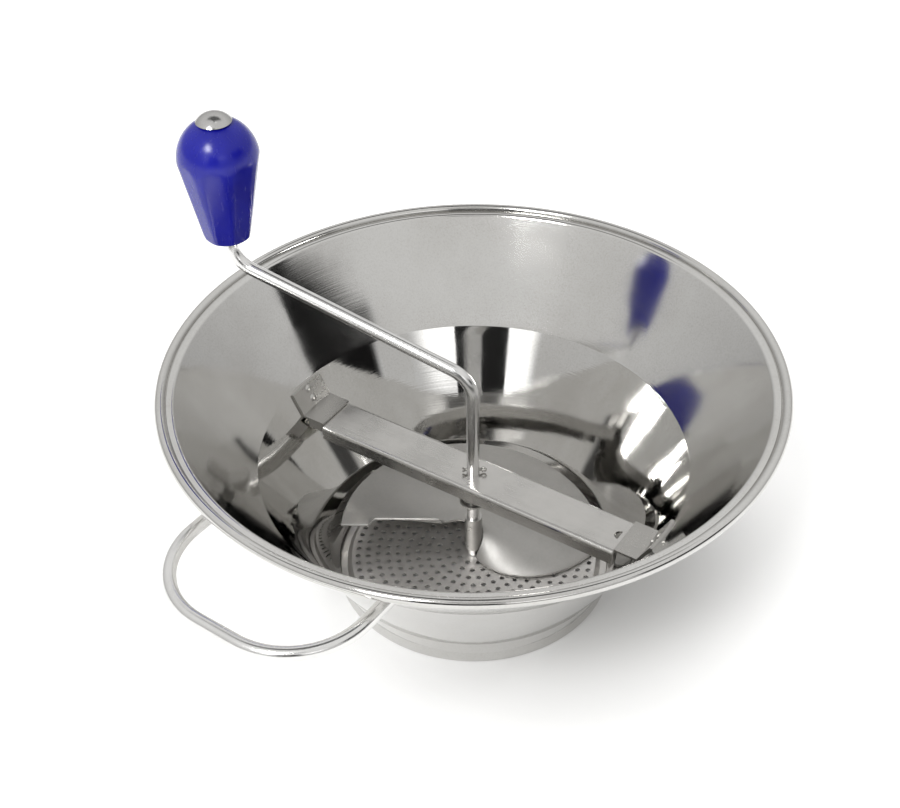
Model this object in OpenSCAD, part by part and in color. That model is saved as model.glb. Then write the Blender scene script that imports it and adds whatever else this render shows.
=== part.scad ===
// Large hand-cranked rotary food mill: hopper, sieve, sprung crossbar, crank and
// helical pressing blade. Millimetres, +Z up. The origin is the centre of the base,
// on the plane that the mill stands on. The crossbar lies along X and the loop
// handle points towards -Y.

/* [Hopper] */
// Outside diameter over the rolled rim
rim_d = 370; // [366:1:374]
// Height from the base to the top of the rim
hopper_h = 156; // [154:1:158]
// Inside diameter at the waist, where the cone meets the drum
waist_d = 263; // [261:1:265]
// Height of the waist
waist_h = 91; // [90:0.5:92]
// Thickness of the hopper sheet
sheet = 1.2; // [1:0.1:1.3]

/* [Drum] */
// Outside diameter of the drum at the step above the base collar
step_d = 187; // [186:0.5:188]
// Height of the step
step_h = 22; // [21:0.5:23]
// Outside diameter of the base collar at the foot
collar_d = 176; // [175:0.5:177]
// Inside diameter of the sieve seat
seat_d = 158; // [155:1:160]

/* [Sieve] */
// Diameter of each sieve hole
sieve_hole_d = 3.2; // [2.8:0.1:3.6]
// Distance between neighbouring sieve holes
sieve_pitch = 6.5; // [6.2:0.1:8]
// Height that the perforated field is pressed up above the seat
sieve_rise = 3.2; // [2.5:0.1:3.5]

/* [Crank] */
// Diameter of the crank rod
rod_d = 8; // [7.6:0.1:8]
// Length of the straight, sloping arm
arm_l = 135; // [130:1:138]
// Direction of the crank arm, counter-clockwise from +X
crank_dir = 190; // [186:1:200]
// Height at which the shaft starts to bend
shaft_bend_h = 135; // [132:1:138]
// Radius of the bend at the shaft
shaft_bend_r = 18; // [15:1:22]
// Radius of the bend below the knob
knob_bend_r = 20; // [15:1:22]

/* [Knob] */
// Length of the knob
knob_l = 75; // [72:1:80]
// Largest diameter of the knob
knob_d = 48; // [46:1:50]
// Diameter at the foot of the knob
knob_foot_d = 28; // [27:0.5:30]
// Number of flats around the tapered part
knob_flats = 8; // [6:1:10]

/* [Crossbar] */
// Width of the crossbar
bar_w = 30; // [28:1:31]
// Height of the top of the crossbar
bar_top = 75; // [74:0.5:76]
// Thickness of the crossbar sheet
bar_t = 1.5; // [1.2:0.1:1.8]
// Depth of the crossbar's side flanges, over the sheet
bar_flange = 10; // [8:0.5:11]
// Outside radius of the bends along the crossbar's sides
bar_bend = 2.5; // [2:0.1:2.5]
// Distance from the shaft to the end of each tongue
tongue_r = 117; // [115:0.5:117.5]

/* [Blade] */
// Outside diameter of the blade
blade_d = 170; // [164:1:170]
// Rise of the blade from the wiping edge to the intake edge
blade_rise = 22; // [18:1:24]
// Thickness of the blade sheet
blade_t = 1.5; // [1.2:0.1:1.8]

/* [Loop handle] */
// Diameter of the handle wire
loop_wire_d = 8; // [7:0.5:9]
// Half of the distance between the two legs, on their centre lines
loop_half_w = 58.5; // [56:0.5:60]
// Distance from the shaft to the centre line of the grip
loop_reach = 225; // [221:1:228]
// Height of the wire where it meets the hopper
loop_h = 137; // [134:1:139]
// Turn of the handle away from -Y, clockwise seen from above
loop_turn = 2; // [0:0.5:6]

/* [Hidden] */
$fn = 96;

// Radial clearance of a running fit, gap between fixed faces, gap that lets a part slide
run_gap = 0.07;
seat_gap = 0.05;
slide_gap = 0.3;
// Room left for the welding metal between a wire and the cone
weld_gap = 0.1;
// Overshoot of a cutting tool past the face that it cuts
past = 1;

// Hopper
rim_bead_r = 3;
rim_lip_w = 4.5;
lip_r = rim_d / 2 - 2 * rim_bead_r - rim_lip_w;
lip_z = hopper_h - rim_bead_r;
bead_x = rim_d / 2 - rim_bead_r;
waist_r = waist_d / 2;
step_r = step_d / 2;
collar_r = collar_d / 2;
collar_h = 8;
cone_run = (lip_r - waist_r) / (lip_z - waist_h);
drum_run = (waist_r - step_r + sheet) / (waist_h - step_h);
cone_wall = sheet * sqrt(1 + cone_run * cone_run);
drum_wall = sheet * sqrt(1 + drum_run * drum_run);
// Outside radius of the cone at its two ends
cone_foot_r = waist_r + drum_wall;
cone_head_r = lip_r + cone_wall - sheet * cone_run;
function drum_in(z) = waist_r - (waist_h - z) * drum_run;

// Sieve
sieve_t = 1;
sieve_r = collar_r - sheet - 0.8;
sieve_z = sheet + seat_gap;
field_r = 79;
field_slope = 3;
field_z = sieve_z + sieve_rise;
field_top = field_z + sieve_t;
first_ring = 10;
sieve_rings = floor((field_r - first_ring - sieve_hole_d) / sieve_pitch);

// Shaft, pins and washers
rod_r = rod_d / 2;
tip_d = 6;
tip_z = 1.6;
tip_top = field_top + 0.6;
split_pin_z = bar_top + 2.6;
split_pin_d = 1.8;
split_pin_dir = 34;
split_pin_out = 1;
split_wire_d = 1.2;
split_eye_r = 1.5;
split_leg_l = 2.5;
split_leg_lean = 35;
thrust_pin_z = 50;
thrust_pin_d = 3;
thrust_pin_l = 13;
washer_t = 1.2;
bore_d = rod_d + 2 * run_gap;
spring_washer_d = 17;
spring_washer_z = thrust_pin_z + thrust_pin_d / 2 + seat_gap;
bar_washer_d = 20;
bar_washer_z = bar_top - bar_t - seat_gap - washer_t;

// Spring
spring_wire = 1.6;
spring_r = 6.2;
spring_turns = 4.5;
spring_sides = 8;
spring_steps = 26;
spring_z0 = spring_washer_z + washer_t + seat_gap + spring_wire / 2;
spring_z1 = bar_washer_z - seat_gap - spring_wire / 2;

// Crank arm, in the plane of the crank: x outwards, z up
// The arm climbs 7 in 25, along the long leg of a 7-24-25 triangle, so that every
// stretch of the rod ends on a round number and meets the next one exactly.
arm_rise = 7 / 25;
arm_run = 24 / 25;
turn = acos(arm_rise);
arm_x0 = shaft_bend_r * (1 - arm_rise);
arm_z0 = shaft_bend_h + shaft_bend_r * arm_run;
arm_x1 = arm_x0 + arm_l * arm_run;
crank_r = arm_x1 + knob_bend_r * (1 - arm_rise);
post_z = arm_z0 + arm_l * arm_rise + knob_bend_r * arm_run;

// Knob
knob_washer_d = 17;
knob_washer_z = post_z + 1;
knob_z = knob_washer_z + washer_t + slide_gap;
knob_shoulder = 0.69 * knob_l;
knob_top_r = 9;
knob_flat_in = 0.9;
cap_z = knob_z + knob_l + 0.7;
cap_r = 10.5;
cap_h = 5;
cap_socket = 2.5;
rod_top = cap_z + cap_socket - seat_gap;

// Crossbar and lugs
flange_r = 105.7;
bend_steps = 6;
tongue_w = 24;
slot_x = 103;
slot_d = 7;
lug_w = 28;
lug_t = 1.5;
lug_z = bar_top + slide_gap;
lug_in = 106;
lug_out = 140;
stop_in = lug_in + 1.5;
stop_y = tongue_w / 2 + slide_gap;
stop_drop = 6;
stop_l = 10;
rivet_d = 3;
rivet_head_d = 5;
rivet_head_h = 1;
rivet_z = [80.5, 86.5];
// How far the drills for the rivets reach to both sides of the drum's inner face
rivet_cut_in = 6;
rivet_cut_out = 4;

// Blade
blade_r = blade_d / 2;
hub_r = 5.5;
hub_z = 12;
hub_h = 26;
blade_in = hub_r + 0.3;
blade_z0 = field_top + 0.6;
blade_radii = [blade_in, 12, 18, 22, 36, 50, 62, 67, 76, blade_r];
blade_steps = 46;
blade_curve = 0.7;
wipe_dir = -38;
wipe_lag = 0.9;
intake_dir = 212;
intake_cut_r = 21;
intake_cut = 3;
lip_from = 0.965;
lip_rise = 6;
lip_in = 18;
lip_out = 67;
lip_ramp = 4;

// Loop handle and rest hooks
leg_start = 130;
loop_corner = 46;
hook_wire_d = 6;
hook_half_w = 55;
hook_h = 128;
hook_reach = 192;
hook_bend = 9;
hook_drop = 12;

STEEL = "silver";
SATIN = "gainsboro";
BLUE = "mediumblue";

// A round wire bent in the XZ plane about the origin, between two angles from +X
module wire_bend(d, bend_r, from, to) {
    rotate([90, 0, 0])
        rotate([0, 0, from])
            rotate_extrude(angle = to - from)
                translate([bend_r, 0])
                    circle(d = d);
}

// A round wire bent in the XY plane about the origin, between two angles from +X
module flat_bend(d, bend_r, from, to) {
    rotate([0, 0, from])
        rotate_extrude(angle = to - from)
            translate([bend_r, 0])
                circle(d = d);
}

module washer(d) {
    difference() {
        cylinder(d = d, h = washer_t);
        translate([0, 0, -past])
            cylinder(d = bore_d, h = washer_t + 2 * past);
    }
}

// The rivets' places: on the drum wall, with Z along the rivet and out of the hopper
module at_rivets() {
    for (side = [0, 180], z = rivet_z)
        rotate([0, 0, side])
            translate([drum_in(z), 0, z])
                rotate([0, 90 + atan(drum_run), 0])
                    children();
}

module rivet_holes() {
    at_rivets()
        translate([0, 0, -rivet_cut_in])
            cylinder(d = rivet_d + 2 * seat_gap, h = rivet_cut_in + rivet_cut_out);
}

// Half section of the spun hopper: seat, collar, drum, cone, lip and rolled bead
module hopper_section() {
    polygon([
        [seat_d / 2, 0],
        [collar_r, 0],
        [collar_r, collar_h],
        [step_r, step_h],
        [cone_foot_r, waist_h],
        [cone_head_r, lip_z - sheet],
        [bead_x, lip_z - sheet],
        [bead_x, lip_z],
        [lip_r, lip_z],
        [waist_r, waist_h],
        [step_r - sheet, step_h],
        [collar_r - sheet, collar_h],
        [collar_r - sheet, sheet],
        [seat_d / 2, sheet]
    ]);
    translate([bead_x, hopper_h - rim_bead_r])
        difference() {
            circle(r = rim_bead_r);
            circle(r = rim_bead_r - sheet);
        }
}

module hopper() {
    color(STEEL)
        difference() {
            rotate_extrude($fn = 180)
                hopper_section();
            rivet_holes();
        }
}

// Solid a little larger than the outside of the cone, which trims the welded wires
module cone_trim() {
    translate([0, 0, waist_h])
        cylinder(
            r1 = cone_foot_r + weld_gap,
            r2 = cone_head_r + weld_gap,
            h = lip_z - sheet - waist_h,
            $fn = 180
        );
}

// Two legs, two round corners and a straight grip
module loop_handle() {
    corner_x = loop_half_w - loop_corner;
    corner_y = loop_reach - loop_corner;
    color(STEEL)
        difference() {
            translate([0, 0, loop_h]) rotate([0, 0, -loop_turn]) {
                for (side = [-1, 1]) {
                    translate([side * loop_half_w, -corner_y, 0])
                        rotate([-90, 0, 0])
                            cylinder(d = loop_wire_d, h = corner_y - leg_start);
                    translate([side * corner_x, -corner_y, 0])
                        flat_bend(loop_wire_d, loop_corner, -135 + side * 45, -45 + side * 45);
                }
                translate([-corner_x, -loop_reach, 0])
                    rotate([0, 90, 0])
                        cylinder(d = loop_wire_d, h = 2 * corner_x);
            }
            cone_trim();
        }
}

// A leg out from the cone, a bend and a short drop that sits over a pot's rim
module rest_hook(x) {
    leg_end = hook_reach - hook_bend;
    color(STEEL)
        difference() {
            translate([x, 0, hook_h]) {
                translate([0, leg_start, 0])
                    rotate([-90, 0, 0])
                        cylinder(d = hook_wire_d, h = leg_end - leg_start);
                translate([0, leg_end, -hook_bend])
                    rotate([0, 0, 90])
                        wire_bend(hook_wire_d, hook_bend, 0, 90);
                translate([0, hook_reach, -hook_bend - hook_drop])
                    cylinder(d = hook_wire_d, h = hook_drop);
            }
            cone_trim();
        }
}

module rest_hook_left() {
    rest_hook(-hook_half_w);
}

module rest_hook_right() {
    rest_hook(hook_half_w);
}

// Section of a lug: a leg that lies on the drum wall and a strap over the tongue
module lug_section() {
    leg_top = waist_h - 1;
    foot = drum_in(lug_z) - seat_gap;
    head = drum_in(leg_top) - seat_gap;
    leg_w = lug_t * sqrt(1 + drum_run * drum_run);
    polygon([
        [lug_in - past, lug_z],
        [foot, lug_z],
        [head, leg_top],
        [head - leg_w, leg_top],
        [foot - leg_w + lug_t * drum_run, lug_z + lug_t],
        [lug_in - past, lug_z + lug_t]
    ]);
}

// Bent strip with a tab at one side, which stops the tongue as the crank drags the bar
module lug() {
    color(SATIN)
        difference() {
            union() {
                intersection() {
                    rotate_extrude($fn = 180)
                        lug_section();
                    translate([lug_in, -lug_w / 2, lug_z - past])
                        cube([lug_out - lug_in, lug_w, waist_h]);
                }
                translate([stop_in, stop_y, lug_z - stop_drop])
                    cube([stop_l, lug_t, stop_drop + lug_t]);
            }
            rivet_holes();
        }
}

module lug_right() {
    lug();
}

module lug_left() {
    rotate([0, 0, 180])
        lug();
}

// Four rivets, each a shank with a round head on both sides of the wall and the lug
module lug_rivets() {
    grip_in = lug_t + 4 * seat_gap;
    grip_out = sheet + 4 * seat_gap;
    color(SATIN)
        at_rivets() {
            translate([0, 0, -grip_in])
                cylinder(d = rivet_d, h = grip_in + grip_out);
            translate([0, 0, grip_out])
                rivet_head();
            translate([0, 0, -grip_in])
                mirror([0, 0, 1])
                    rivet_head();
        }
}

// Part of a ball, flat on its underside
module rivet_head() {
    ball_r = (pow(rivet_head_d / 2, 2) + pow(rivet_head_h, 2)) / (2 * rivet_head_h);
    intersection() {
        translate([0, 0, rivet_head_h - ball_r])
            sphere(r = ball_r);
        cylinder(d = rivet_head_d, h = rivet_head_h);
    }
}

// Pressed disc: a flat rim, a short slope and a flat field with rings of holes
module sieve() {
    color(SATIN)
        difference() {
            rotate_extrude()
                polygon([
                    [tip_d / 2 + run_gap, field_z],
                    [field_r, field_z],
                    [field_r + field_slope, sieve_z],
                    [sieve_r, sieve_z],
                    [sieve_r, sieve_z + sieve_t],
                    [field_r + field_slope, sieve_z + sieve_t],
                    [field_r, field_top],
                    [tip_d / 2 + run_gap, field_top]
                ]);
            for (ring = [0 : sieve_rings]) {
                ring_r = first_ring + ring * sieve_pitch;
                count = floor(2 * PI * ring_r / sieve_pitch);
                for (i = [0 : count - 1])
                    rotate([0, 0, (i + ring / 2) * 360 / count])
                        translate([ring_r, 0, field_z - past])
                            cylinder(d = sieve_hole_d, h = sieve_t + 2 * past, $fn = 24);
            }
        }
}

// Points of a bend in the bar's section, between two angles
function bend_points(y, r, from, to) = [
    for (i = [0 : bend_steps])
        let (a = from + (to - from) * i / bend_steps)
            [y + r * cos(a), bar_top - bar_bend + r * sin(a)]
];

// Section across the bar: a channel, open downwards, with rounded bends
module bar_section() {
    half = bar_w / 2;
    low = bar_top - bar_flange;
    polygon(concat(
        [[half - bar_t, low], [half, low]],
        bend_points(half - bar_bend, bar_bend, 0, 90),
        bend_points(bar_bend - half, bar_bend, 90, 180),
        [[-half, low], [bar_t - half, low]],
        bend_points(bar_bend - half, bar_bend - bar_t, 180, 90),
        bend_points(half - bar_bend, bar_bend - bar_t, 90, 0)
    ));
}

// Channel bar with a tongue at each end, a bore for the shaft and a half-round hole
module crossbar() {
    color(SATIN)
        difference() {
            union() {
                translate([-flange_r, 0, 0])
                    rotate([90, 0, 90])
                        linear_extrude(2 * flange_r)
                            bar_section();
                translate([-tongue_r, -tongue_w / 2, bar_top - bar_t])
                    cube([2 * tongue_r, tongue_w, bar_t]);
            }
            translate([0, 0, bar_top - bar_t - past])
                cylinder(d = bore_d, h = bar_t + 2 * past);
            translate([slot_x, 0, bar_top - bar_t - past])
                intersection() {
                    cylinder(d = slot_d, h = bar_t + 2 * past);
                    translate([-slot_d, -slot_d, 0])
                        cube([slot_d, 2 * slot_d, bar_t + 2 * past]);
                }
        }
}

module bar_washer() {
    color(SATIN)
        translate([0, 0, bar_washer_z])
            washer(bar_washer_d);
}

module spring_washer() {
    color(SATIN)
        translate([0, 0, spring_washer_z])
            washer(spring_washer_d);
}

// A point on the skin of the spring wire: along the coil, then round the wire
function coil_point(i, j) =
    let (along = i / (spring_steps * spring_turns))
    let (a = 360 * i / spring_steps)
    let (b = 360 * j / spring_sides)
    let (r = spring_r + cos(b) * spring_wire / 2)
    let (dead = 0.5 / spring_turns)
    let (rise = min(1, max(0, (along - dead) / (1 - 2 * dead))))
    [
        r * cos(a),
        r * sin(a),
        spring_z0 + rise * (spring_z1 - spring_z0) + sin(b) * spring_wire / 2
    ];

// Compression spring as one swept skin
module spring() {
    last = round(spring_steps * spring_turns);
    n = spring_sides;
    points = [for (i = [0 : last]) for (j = [0 : n - 1]) coil_point(i, j)];
    skin = [
        for (i = [0 : last - 1])
            for (j = [0 : n - 1])
                let (k = (j + 1) % n)
                    [i * n + j, (i + 1) * n + j, (i + 1) * n + k, i * n + k]
    ];
    start = [for (j = [0 : n - 1]) j];
    end = [for (j = [0 : n - 1]) last * n + n - 1 - j];
    color(STEEL)
        polyhedron(points, concat(skin, [start, end]), convexity = 8);
}

module thrust_pin() {
    color(SATIN)
        rotate([0, 0, crank_dir])
            translate([0, thrust_pin_l / 2, thrust_pin_z])
                rotate([90, 0, 0])
                    cylinder(d = thrust_pin_d, h = thrust_pin_l);
}

// Doubled wire through the shaft, with an eye at one end and its legs opened at the other
module split_pin() {
    half_l = rod_r + split_pin_out;
    color(SATIN)
        translate([0, 0, split_pin_z])
            rotate([0, 0, split_pin_dir]) {
                translate([-half_l, 0, 0])
                    rotate([0, 90, 0])
                        cylinder(d = split_pin_d, h = 2 * half_l);
                translate([half_l + split_eye_r, 0, 0])
                    rotate([90, 0, 0])
                        rotate_extrude()
                            translate([split_eye_r, 0])
                                circle(d = split_wire_d);
                for (lean = [-split_leg_lean, split_leg_lean])
                    translate([split_wire_d / 2 - half_l, 0, 0])
                        rotate([0, -90 + lean, 0])
                            cylinder(d = split_wire_d, h = split_leg_l);
            }
}

// Shaft, arm and knob post bent from one rod, with a turned tip that runs in the sieve
module crank_rod() {
    color(STEEL)
        rotate([0, 0, crank_dir])
            difference() {
                union() {
                    translate([0, 0, tip_z])
                        cylinder(d = tip_d, h = tip_top - tip_z);
                    translate([0, 0, tip_top])
                        cylinder(d = rod_d, h = shaft_bend_h - tip_top);
                    translate([shaft_bend_r, 0, shaft_bend_h])
                        wire_bend(rod_d, shaft_bend_r, 180 - turn, 180);
                    translate([arm_x0, 0, arm_z0])
                        rotate([0, turn, 0])
                            cylinder(d = rod_d, h = arm_l);
                    translate([crank_r - knob_bend_r, 0, post_z])
                        wire_bend(rod_d, knob_bend_r, -turn, 0);
                    translate([crank_r, 0, post_z])
                        cylinder(d = rod_d, h = rod_top - post_z);
                }
                translate([0, rod_d, thrust_pin_z])
                    rotate([90, 0, 0])
                        cylinder(d = thrust_pin_d + 2 * seat_gap, h = 2 * rod_d);
                rotate([0, 0, split_pin_dir - crank_dir])
                    translate([-rod_d, 0, split_pin_z])
                        rotate([0, 90, 0])
                            cylinder(d = split_pin_d + 2 * seat_gap, h = 2 * rod_d);
            }
}

// Sleeve on the shaft that carries the blade
module blade_hub() {
    color(SATIN)
        translate([0, 0, hub_z])
            difference() {
                cylinder(r = hub_r, h = hub_h);
                translate([0, 0, -past])
                    cylinder(d = rod_d + 2 * seat_gap, h = hub_h + 2 * past);
            }
}

// Middle surface of the blade. s runs from the wiping edge, 0, to the intake edge, 1.
function blade_dir(s, r) =
    let (wipe = wipe_dir + wipe_lag * r)
    let (intake = intake_dir - intake_cut * max(0, intake_cut_r - r))
    wipe + s * (intake - wipe);
// Share of the lip's height at a radius: none near the hub and at the outer edge
function lip_share(r) = max(0, min(1, (r - lip_in) / lip_ramp, (lip_out - r) / lip_ramp));
function blade_z(s, r) =
    blade_z0
    + blade_rise * sin(90 * pow(s, blade_curve))
    + lip_rise * lip_share(r) * max(0, s - lip_from) / (1 - lip_from);
function blade_point(s, r) = [
    r * cos(blade_dir(s, r)),
    r * sin(blade_dir(s, r)),
    blade_z(s, r)
];
function unit(v) = v / norm(v);
// Upward normal of the surface, from two short steps
function blade_normal(s, r) =
    let (step = 0.002)
    let (a = blade_point(min(1, s + step), r) - blade_point(max(0, s - step), r))
    let (b = blade_point(s, r + step) - blade_point(s, r - step))
    unit(cross(b, a));

// Sheet between the middle surface's under side and its upper side
module blade() {
    steps = [for (i = [0 : blade_steps]) i / blade_steps];
    m = len(blade_radii);
    size = len(steps) * m;
    lower = [for (s = steps) for (r = blade_radii) blade_point(s, r)];
    upper = [for (s = steps) for (r = blade_radii) blade_point(s, r) + blade_t * blade_normal(s, r)];
    cells = [for (i = [0 : len(steps) - 2]) for (j = [0 : m - 2]) i * m + j];
    top = [for (c = cells) [size + c, size + c + m, size + c + m + 1, size + c + 1]];
    bottom = [for (c = cells) [c, c + 1, c + m + 1, c + m]];
    wipe = [for (j = [0 : m - 2]) [j, size + j, size + j + 1, j + 1]];
    far = (len(steps) - 1) * m;
    intake = [for (j = [0 : m - 2]) [far + j, far + j + 1, size + far + j + 1, size + far + j]];
    hub_side = [for (i = [0 : len(steps) - 2]) let (c = i * m) [c, c + m, size + c + m, size + c]];
    out_side = [
        for (i = [0 : len(steps) - 2])
            let (c = i * m + m - 1)
                [c, size + c, size + c + m, c + m]
    ];
    color(SATIN)
        polyhedron(
            concat(lower, upper),
            concat(top, bottom, wipe, intake, hub_side, out_side),
            convexity = 6
        );
}

module at_knob() {
    rotate([0, 0, crank_dir])
        translate([crank_r, 0, 0])
            children();
}

module knob_washer() {
    color(SATIN)
        at_knob()
            translate([0, 0, knob_washer_z])
                washer(knob_washer_d);
}

// Tapered knob under an elliptical dome, with flats cut on the tapered part
module knob() {
    foot_r = knob_foot_d / 2;
    top_r = knob_d / 2;
    taper = atan((top_r - foot_r) / knob_shoulder);
    dome_h = knob_l - knob_shoulder;
    dome_steps = 16;
    dome_end = acos(knob_top_r / top_r);
    dome_scale = dome_h / sin(dome_end);
    color(BLUE)
        at_knob()
            translate([0, 0, knob_z])
                difference() {
                    rotate_extrude()
                        polygon(concat(
                            [[bore_d / 2, 0], [foot_r - 1, 0], [foot_r, 1]],
                            [
                                for (i = [0 : dome_steps])
                                    let (a = dome_end * i / dome_steps)
                                        [top_r * cos(a), knob_shoulder + dome_scale * sin(a)]
                            ],
                            [[bore_d / 2, knob_l]]
                        ));
                    for (i = [0 : knob_flats - 1])
                        rotate([0, 0, (i + 0.5) * 360 / knob_flats])
                            translate([foot_r - knob_flat_in, 0, 0])
                                rotate([0, taper, 0])
                                    translate([0, -knob_d, -knob_l])
                                        cube([knob_d, 2 * knob_d, 3 * knob_l]);
                }
}

// Domed push-on cap, fixed to the end of the rod
module knob_cap() {
    ball_r = (cap_r * cap_r + cap_h * cap_h) / (2 * cap_h);
    color(STEEL)
        at_knob()
            translate([0, 0, cap_z])
                difference() {
                    intersection() {
                        translate([0, 0, cap_h - ball_r])
                            sphere(r = ball_r);
                        cylinder(r = cap_r, h = cap_h);
                    }
                    translate([0, 0, -past])
                        cylinder(d = rod_d + 2 * seat_gap, h = cap_socket + past);
                }
}

hopper();
loop_handle();
rest_hook_left();
rest_hook_right();
lug_left();
lug_right();
lug_rivets();
sieve();
crossbar();
bar_washer();
spring();
spring_washer();
thrust_pin();
split_pin();
crank_rod();
blade_hub();
blade();
knob_washer();
knob();
knob_cap();
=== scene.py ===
import math

import bmesh
import bpy
from mathutils import Matrix, Vector


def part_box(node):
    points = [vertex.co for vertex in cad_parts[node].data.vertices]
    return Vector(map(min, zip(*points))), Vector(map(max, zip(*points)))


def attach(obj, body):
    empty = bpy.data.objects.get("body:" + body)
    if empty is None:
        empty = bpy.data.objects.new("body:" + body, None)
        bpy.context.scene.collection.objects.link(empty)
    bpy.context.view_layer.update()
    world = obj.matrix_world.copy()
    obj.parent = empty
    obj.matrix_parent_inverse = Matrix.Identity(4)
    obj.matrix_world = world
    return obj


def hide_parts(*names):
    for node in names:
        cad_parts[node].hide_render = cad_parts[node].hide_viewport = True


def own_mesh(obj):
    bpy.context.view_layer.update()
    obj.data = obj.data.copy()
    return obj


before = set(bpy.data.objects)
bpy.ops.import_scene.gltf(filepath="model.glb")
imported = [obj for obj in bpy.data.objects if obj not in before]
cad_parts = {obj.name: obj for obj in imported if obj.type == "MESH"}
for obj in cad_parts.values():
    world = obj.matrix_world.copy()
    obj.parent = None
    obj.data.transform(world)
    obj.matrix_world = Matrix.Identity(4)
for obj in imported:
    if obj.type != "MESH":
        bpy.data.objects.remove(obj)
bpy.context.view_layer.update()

# Metres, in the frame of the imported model: origin at the centre of the base, +Z up,
# the crossbar along X and the loop handle towards -Y.
MM = 0.001

# ---------------------------------------------------------------- sizes

RIM_R = 185 * MM
RIM_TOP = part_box("hopper")[1].z
SHEET = 1.2 * MM
BEAD_R = 3 * MM
LIP_R = 174.5 * MM
LIP_Z = RIM_TOP - BEAD_R
WAIST_R = 131.5 * MM
WAIST_Z = 91 * MM
STEP_R = 93.5 * MM
STEP_Z = 22 * MM
COLLAR_R = 88 * MM
COLLAR_H = 8 * MM
SEAT_R = 79 * MM
CONE_RUN = (LIP_R - WAIST_R) / (LIP_Z - WAIST_Z)
DRUM_RUN = (WAIST_R - STEP_R + SHEET) / (WAIST_Z - STEP_Z)
CONE_WALL = SHEET * math.hypot(1, CONE_RUN)
DRUM_WALL = SHEET * math.hypot(1, DRUM_RUN)
# Outside radius of the cone at its two ends, and the height of the upper one
CONE_FOOT_R = WAIST_R + DRUM_WALL
CONE_HEAD_R = LIP_R + CONE_WALL - SHEET * CONE_RUN
CONE_HEAD_Z = LIP_Z - SHEET

ROD_R = 4 * MM
TIP_R = 3 * MM
TIP_TOP = 6.05 * MM
ROD_LOW, ROD_HIGH = (corner.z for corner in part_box("crank_rod"))
CRANK_DIR = math.radians(190)
SHAFT_BEND_Z = 135 * MM
SHAFT_BEND_R = 18 * MM
KNOB_BEND_R = 20 * MM
ARM_L = 135 * MM
# The arm rises 7 for every 25 of its length
ARM_TURN = math.acos(7 / 25)

LOOP_WIRE_R = 4 * MM
LOOP_HALF_W = 58.5 * MM
LOOP_REACH = 225 * MM
LOOP_CORNER = 46 * MM
LOOP_Z = 137 * MM
LOOP_TURN = math.radians(-2)
LEG_END = 162 * MM
HOOK_WIRE_R = 3 * MM
HOOK_HALF_W = 55 * MM
HOOK_Z = 128 * MM
# A place on the hooks' level legs, outside the cone
HOOK_LEG_Y = 180 * MM

# A bead of weld: its radius, how far its middle stands off the cone, and its lumps, as
# (how many round the wire, height as a share of the radius, shift)
WELD_R = 1.2 * MM
WELD_OUT = 0.5 * MM
WELD_LUMPS = ((11, 0.12, 0), (7, 0.08, 1))

BLADE_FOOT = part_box("blade")[0].z
BLADE_R = 85 * MM
BLADE_IN = 5.8 * MM
BLADE_T = 1.5 * MM
BLADE_RISE = 22 * MM
BLADE_CURVE = 0.7
# Directions of the blade's two edges. The wiping edge lags as the radius grows, and the
# intake edge is cut back where it is nearer to the hub than INTAKE_CUT_R
WIPE_DIR = math.radians(-38)
WIPE_LAG = math.radians(0.9) / MM
INTAKE_DIR = math.radians(212)
INTAKE_CUT = math.radians(3) / MM
INTAKE_CUT_R = 21 * MM
# A low lip along the intake edge, between two radii
BLADE_LIP_RISE = 6 * MM
BLADE_LIP_FROM = 0.965
BLADE_LIP_IN = 18 * MM
BLADE_LIP_OUT = 67 * MM
BLADE_LIP_RAMP = 4 * MM

SPRING_LOW, SPRING_HIGH = (corner.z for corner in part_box("spring"))
SPRING_WIRE_R = 0.8 * MM
SPRING_R = 6.2 * MM
SPRING_TURNS = 4.5

knob_low, knob_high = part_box("knob")
KNOB_CENTRE = (knob_low + knob_high) / 2
KNOB_FOOT_R = 14 * MM
KNOB_R = 24 * MM
KNOB_TOP_R = 9 * MM
KNOB_L = knob_high.z - knob_low.z
KNOB_SHOULDER = 0.69 * KNOB_L
KNOB_BORE_R = 4.07 * MM
KNOB_TAPER = (KNOB_R - KNOB_FOOT_R) / KNOB_SHOULDER
KNOB_FLATS = 8
KNOB_FLAT_IN = 0.9 * MM


# ---------------------------------------------------------------- mesh tools

# Points closer than this are one point
SAME_PLACE = 1e-7
# The most of a side that the fillet at one of its ends may take
FILLET_SHARE = 0.49


def arc(centre, radius, start, end, steps):
    """Points of an arc in a plane, between two angles in degrees."""
    cx, cy = centre
    out = []
    for i in range(steps + 1):
        a = math.radians(start + (end - start) * i / steps)
        out.append((cx + radius * math.cos(a), cy + radius * math.sin(a)))
    return out


def rounded(points, steps=6):
    """A closed outline from (x, y, radius) corners, each replaced by a fillet."""
    out = []
    n = len(points)
    for i in range(n):
        before = Vector(points[i - 1][:2])
        here = Vector(points[i][:2])
        after = Vector(points[(i + 1) % n][:2])
        radius = points[i][2]
        if radius <= 0:
            out.append(points[i][:2])
            continue
        a = (before - here).normalized()
        b = (after - here).normalized()
        half = a.angle(b) / 2
        reach = min(
            radius / math.tan(half),
            FILLET_SHARE * (before - here).length,
            FILLET_SHARE * (after - here).length,
        )
        start = here + a * reach
        end = here + b * reach
        for k in range(steps + 1):
            t = k / steps
            p = start * (1 - t) ** 2 + here * 2 * t * (1 - t) + end * t * t
            out.append((p.x, p.y))
    return out


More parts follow.
